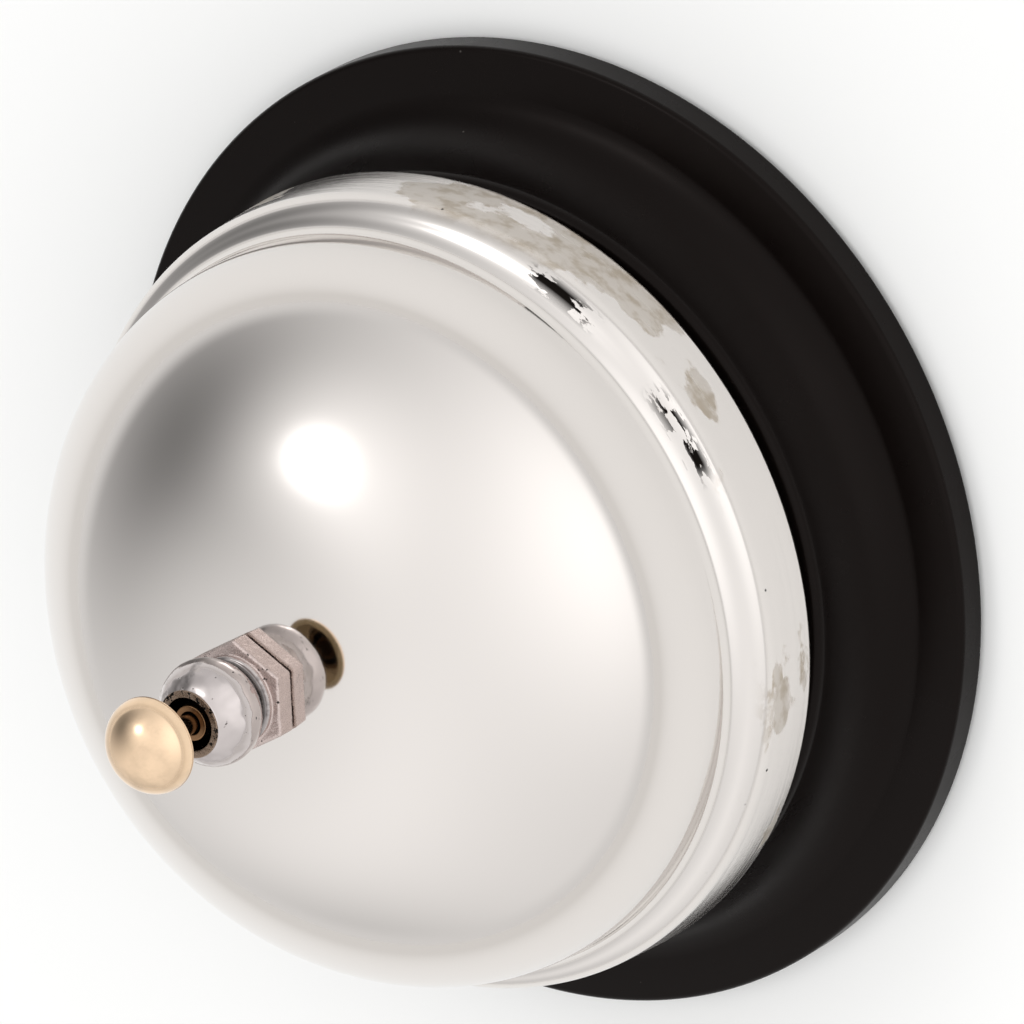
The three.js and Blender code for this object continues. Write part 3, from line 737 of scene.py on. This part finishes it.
def snap_ring(name, inner, outer, low, high, material, part, body, lie=None, at=(0, 0, 0)):
    """A rounded rectangle carried round an arc that leaves a mouth of 50 degrees open."""
    cut = rounded([(low, (inner + outer) / 2), (low, outer, 0.1), (high, outer, 0.1), (high, inner, 0.1),
                   (low, inner, 0.1), (low, (inner + outer) / 2)], 3)[:-1]
    a = np.radians(np.linspace(25, 335, 60))[:, None]
    across, up = cut[:, 1][None], cut[:, 0][None]
    rings = np.stack([across * np.cos(a), across * np.sin(a), up + 0 * a], -1)
    rings = rings[:, ::-1]
    if lie is not None:
        rings = rings @ np.array(lie).T
    piece = rings_to_piece(name, rings + np.array(at))
    return finish(piece, material, body, "spring_steel", part)


def make_plunger(sizes, colours):
    """The rod, the four rings that sit on it, and the button."""
    low, high = box("plunger_rod")
    radius = (high[0] - low[0]) / 2
    bore = radius + GAP
    rod = turned("rod", rounded([
        (0.1, low[2]), (radius, low[2], 0.2), (radius, high[2], 0.2), (0.1, high[2]),
    ]), FINE)
    steel = turned_metal("lacquered_steel_rod", colours.rod, 0.16, 6.0)
    finish(rod, steel, "plunger", "bright_steel", "plunger_rod")
    nylon = moulded("natural_nylon", colours.nylon, 0.5, 2.5)
    for name, part, edge, material, slot in (
        ("nylon_stop", "stop_washer", 0.12, nylon, "nylon"),
        ("pressed_collar", "rod_collar", 0.15, bright_steel(colours), "bright_steel"),
        ("spring_seat_washer", "spring_seat", 0.1, zinc(colours), "zinc_plate"),
    ):
        low, high = box(part)
        ring = tube_ring(name, bore, high[0], low[2], high[2], edge)
        finish(ring, material, "plunger", slot, part)
    low, high = box("retaining_clip")
    snap_ring("fork_clip", bore, 2.3, low[2], high[2], oiled(colours), "retaining_clip", "plunger")
    make_button(sizes, colours)


def make_button(sizes, colours):
    """The mushroom: a shallow cone underneath with a blind hole for the rod, a thin lip, and an
    elliptical cap."""
    low, high = BUTTON_LOW[2], BUTTON_HIGH[2]
    radius, bore, lip = sizes.button_radius / MM, 0.9, 59.3
    profile = np.concatenate([
        [(0.1, 60.35)],
        rounded([(bore, 60.35), (bore, low, 0.1), (radius - 0.7, low + 0.1, 0.3), (radius - 0.02, lip - 0.12, 0.08),
                 (radius, lip)], 6),
        arc(0, lip, radius, high - lip, 3, 89.2, 56),
    ])
    brass = turned_metal("polished_pale_brass", colours.brass, 0.05, 4.0, colours.underside, 59.15)
    finish(turned("mushroom_button", profile, FINE), brass, "plunger", "polished_brass", "button")


def make_spring(colours):
    """A round wire of radius w along a helix of radius R.

    At t from 0 to 1 the angle is 2 pi times the turns times t, and the height is 0.65 t plus 0.35
    of t - sin(2 pi t) / 2 pi, so that the end turns lie flatter than the middle ones.
    """
    low, high = box("return_spring")
    wire, radius, turns, steps, sides = 0.25, 2.65, 8, 36, 12
    t = np.linspace(0, 1, turns * steps + 1)[:, None]
    z0, z1 = low[2] + wire, high[2] - wire
    eased = 0.65 * t + 0.35 * (t - np.sin(2 * np.pi * t) / (2 * np.pi))
    a = 2 * np.pi * turns * t
    middle = np.concatenate([radius * np.cos(a), radius * np.sin(a), z0 + (z1 - z0) * eased], 1)
    along = np.gradient(middle, axis=0)
    along /= np.linalg.norm(along, axis=1, keepdims=True)
    out = np.concatenate([np.cos(a), np.sin(a), 0 * a], 1)
    side = np.cross(along, out)
    phi = np.linspace(0, 2 * np.pi, sides, endpoint=False)[None, :, None]
    rings = middle[:, None] + wire * (out[:, None] * np.cos(phi) + side[:, None] * np.sin(phi))
    piece = rings_to_piece("coil_spring", rings)
    finish(piece, oiled(colours), "frame", "spring_steel", "return_spring")
    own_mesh(piece)


def make_striker(colours):
    """The lever keeps its CAD shape. The hammer is a ball cut flat where it sits on the lever."""
    paint_node("striker_lever", zinc(colours))
    over, ball, flat = 0.6, 3.0, 50
    rise, width = ball * math.sin(math.radians(flat)), ball * math.cos(math.radians(flat))
    profile = np.concatenate([
        rounded([(0.1, -over - 0.8), (1.35, -over - 0.8, 0.3), (1.7, -over - 0.15, 0.1), (1.65, -over)], 4),
        [(1.0, -over), (1.0, over), (width - 0.1, over)],
        arc(0, over + rise, ball, ball, -flat + 1, 88, 30),
    ])
    spot = PIVOT + np.array(LEAN @ Vector((19.45, 0, 0)))
    hammer = turned("brass_hammer", profile, FINE, at=spot, lie=LEAN)
    finish(hammer, dull_brass(colours), "striker", "turned_brass", "striker_hammer")
    wall, reach = 7.2, 8.9
    pin_profile = rounded([
        (0.1, -wall - 0.85), (1.9, -wall - 0.85, 0.25), (1.9, -wall - 0.05, 0.1), (1.0, -wall - 0.05),
        (1.0, wall + 0.05), (0.75, wall + 0.05), (0.75, wall + 0.75), (1.0, wall + 0.75, 0.05),
        (1.0, reach, 0.15), (0.1, reach),
    ], 3)
    pin = turned("hinge_pin", pin_profile, SMALL, at=PIVOT, lie=ALONG_Y)
    finish(pin, bright_steel(colours), "frame", "bright_steel", "pivot_pin")
    low, high = box("pin_clip")
    snap_ring("hinge_pin_clip", 0.8, 2.1, low[1], high[1], oiled(colours), "pin_clip", "frame", ALONG_Y, PIVOT)


# ---- studio --------------------------------------------------------------------------------------

# soft lights of the studio: azimuth, elevation and spread in degrees, and strength
SKY_LIGHTS = {
    "overhead bank": (74, 49, 55, 0.74),
    "side flag": (44, 35, 46, -1.2),
    "front panel": (-98, 17, 46, 0.60),
    "far flag": (124, 0, 23, -0.27),
    "key": (1, 54, 23, 0.70),
    "key's bright middle": (1, 54, 7, 3.0),
}
SKY_LEVEL = 0.87
HORIZON = 0.84
CAMERA = {"target": (1.8, -8.05, 15.1), "shift_x": 0.57, "distance": 1199.5, "elevation": 49.46,
          "roll": -118.99, "lens": 505.4}


def make_sky():
    """An even pale sky with a few very soft lights and dark flags.

    Each adds strength times e to the power (c - 1) / (1 - cos spread), where c is the cosine of the
    angle from its middle. Below 8 degrees the sky turns into the floor's own brightness, so that no
    line shows where they meet.
    """
    world = bpy.data.worlds.new("studio")
    bpy.context.scene.world = world
    world.use_nodes = True
    tree = world.node_tree
    tree.nodes.clear()
    way = node(tree, "TexCoord", {}, "Generated")
    total = SKY_LEVEL
    for azimuth, elevation, spread, strength in SKY_LIGHTS.values():
        a, e = math.radians(azimuth), math.radians(elevation)
        middle = (math.cos(a) * math.cos(e), math.sin(a) * math.cos(e), math.sin(e))
        tight = 1 / (1 - math.cos(math.radians(spread)))
        near = node(tree, "VectorMath", {0: way, 1: middle}, "Value", operation="DOT_PRODUCT")
        power = node(tree, "Math", {0: near, 1: tight, 2: -tight}, operation="MULTIPLY_ADD")
        glow = node(tree, "Math", {0: power}, operation="EXPONENT")
        total = node(tree, "Math", {0: glow, 1: strength, 2: total}, operation="MULTIPLY_ADD")
    rise = node(tree, "MapRange", {0: node(tree, "SeparateXYZ", {0: way}, "Z"), 1: 0.0, 2: 0.14},
                interpolation_type="SMOOTHSTEP")
    total = node(tree, "Mix", {0: rise, 2: HORIZON, 3: total})
    light = node(tree, "Background", {"Color": (1, 1, 1, 1), "Strength": total})
    node(tree, "OutputWorld", {"Surface": light})


def make_floor(colours):
    """A round pale floor, 6 m across, whose colour is painted brightest where the bell stands: a painted pool of
    light.
    """
    a = np.linspace(0, 2 * np.pi, 96, endpoint=False)
    rim = np.stack([3000 * np.cos(a), 3000 * np.sin(a), 0 * a], 1)
    floor = smooth_mesh("floor", rim, [list(range(96))])
    floor.data.materials.append(white_card(colours))


def white_card(colours):
    """Matt white card with a faint fibre. Its colour is painted paler near the bell than 400 mm away:
    a painted pool of light and painted shade, as a studio sweep is."""
    material, tree, place = begin("matt_white_card")
    # painted pool of light: the colour fades from near white by the bell to a darker tone 400 mm away
    away = node(tree, "VectorMath", {0: place}, "Value", operation="LENGTH")
    away = node(tree, "MapRange", {0: away, 1: 80, 2: 400}, interpolation_type="SMOOTHSTEP")
    tint = node(tree, "Mix", {0: away, 6: shade(colours.floor), 7: shade(colours.painted_shade_floor)}, 2,
                data_type="RGBA")
    fibre = patches(tree, place, (0.05, 0.05, 0.05), 0.3, 0.7)
    rough = node(tree, "MapRange", {0: fibre, 3: 0.85, 4: 0.95})
    complete(tree, {"Base Color": tint, "Roughness": rough, "Specular IOR Level": 0.1})
    return material


def make_camera():
    """A long lens that looks down at the front of the bell, rolled about its own axis."""
    elevation, roll = math.radians(CAMERA["elevation"]), math.radians(CAMERA["roll"])
    forward = Vector((0, math.cos(elevation), -math.sin(elevation)))
    right, up = Vector((1, 0, 0)), Vector((0, math.sin(elevation), math.cos(elevation)))
    across = right * math.cos(roll) + up * math.sin(roll)
    top = up * math.cos(roll) - right * math.sin(roll)
    target = Vector(CAMERA["target"]) + Vector((CAMERA["shift_x"], 0, 0))
    eye = (target - forward * CAMERA["distance"]) * MM
    lens = bpy.data.cameras.new("camera")
    lens.sensor_width = 36
    lens.lens = CAMERA["lens"]
    lens.clip_start = 0.05
    lens.clip_end = 20
    camera = bpy.data.objects.new("camera", lens)
    turn = Matrix((across, top, -forward)).transposed()
    camera.matrix_world = Matrix.Translation(eye) @ turn.to_4x4()
    bpy.context.scene.collection.objects.link(camera)
    bpy.context.scene.camera = camera


# ---- operators -----------------------------------------------------------------------------------


def settings(context):
    return context.scene.service_bell_sizes, context.scene.service_bell_colours


class BELL_OT_base(bpy.types.Operator):
    """Make the enamelled base and its rubber feet"""

    bl_idname = "bell.base"
    bl_label = "Base and feet"

    def execute(self, context):
        sizes, colours = settings(context)
        make_base(sizes, colours)
        make_feet(colours)
        return {"FINISHED"}


class BELL_OT_dome(bpy.types.Operator):
    """Make the plated dome"""

    bl_idname = "bell.dome"
    bl_label = "Dome"

    def execute(self, context):
        make_dome(*settings(context))
        return {"FINISHED"}


class BELL_OT_cap_nut(bpy.types.Operator):
    """Make the cast cap nut"""

    bl_idname = "bell.cap_nut"
    bl_label = "Cap nut"

    def execute(self, context):
        make_cap_nut(*settings(context))
        return {"FINISHED"}


class BELL_OT_post(bpy.types.Operator):
    """Make the hollow post, its nuts and the cushion washer"""

    bl_idname = "bell.post"
    bl_label = "Post and nuts"

    def execute(self, context):
        make_post(settings(context)[1])
        return {"FINISHED"}


class BELL_OT_bracket(bpy.types.Operator):
    """Finish the bracket and make its rivets"""

    bl_idname = "bell.bracket"
    bl_label = "Bracket and rivets"

    def execute(self, context):
        make_bracket(settings(context)[1])
        return {"FINISHED"}


class BELL_OT_plunger(bpy.types.Operator):
    """Make the button, the rod and what sits on the rod"""

    bl_idname = "bell.plunger"
    bl_label = "Plunger"

    def execute(self, context):
        make_plunger(*settings(context))
        return {"FINISHED"}


class BELL_OT_spring(bpy.types.Operator):
    """Make the return spring"""

    bl_idname = "bell.spring"
    bl_label = "Return spring"

    def execute(self, context):
        make_spring(settings(context)[1])
        return {"FINISHED"}


class BELL_OT_striker(bpy.types.Operator):
    """Finish the lever and make the hammer, the pin and its clip"""

    bl_idname = "bell.striker"
    bl_label = "Striker"

    def execute(self, context):
        make_striker(settings(context)[1])
        return {"FINISHED"}


class BELL_OT_studio(bpy.types.Operator):
    """Make the floor, the sky and the camera"""

    bl_idname = "bell.studio"
    bl_label = "Studio"

    def execute(self, context):
        make_floor(settings(context)[1])
        make_sky()
        make_camera()
        context.scene.view_settings.view_transform = "Standard"
        return {"FINISHED"}


STEPS = (
    BELL_OT_studio, BELL_OT_base, BELL_OT_dome, BELL_OT_cap_nut, BELL_OT_post, BELL_OT_bracket,
    BELL_OT_plunger, BELL_OT_spring, BELL_OT_striker,
)


class BELL_PT_panel(bpy.types.Panel):
    """Sizes, colours and the steps that make the bell"""

    bl_idname = "BELL_PT_panel"
    bl_label = "Service Bell"
    bl_space_type = "VIEW_3D"
    bl_region_type = "UI"
    bl_category = "Service Bell"

    def draw(self, context):
        for group in settings(context):
            column = self.layout.column()
            for name in type(group).__annotations__:
                column.prop(group, name)
        for step in STEPS:
            self.layout.operator(step.bl_idname)


CLASSES = (ServiceBellSizes, ServiceBellColours, *STEPS, BELL_PT_panel)


def register():
    for each in CLASSES:
        bpy.utils.register_class(each)
    bpy.types.Scene.service_bell_sizes = bpy.props.PointerProperty(type=ServiceBellSizes)
    bpy.types.Scene.service_bell_colours = bpy.props.PointerProperty(type=ServiceBellColours)


def unregister():
    del bpy.types.Scene.service_bell_colours
    del bpy.types.Scene.service_bell_sizes
    for each in reversed(CLASSES):
        bpy.utils.unregister_class(each)


def main():
    register()
    for step in STEPS:
        group, name = step.bl_idname.split(".")
        getattr(getattr(bpy.ops, group), name)()


if __name__ == "__main__":
    main()
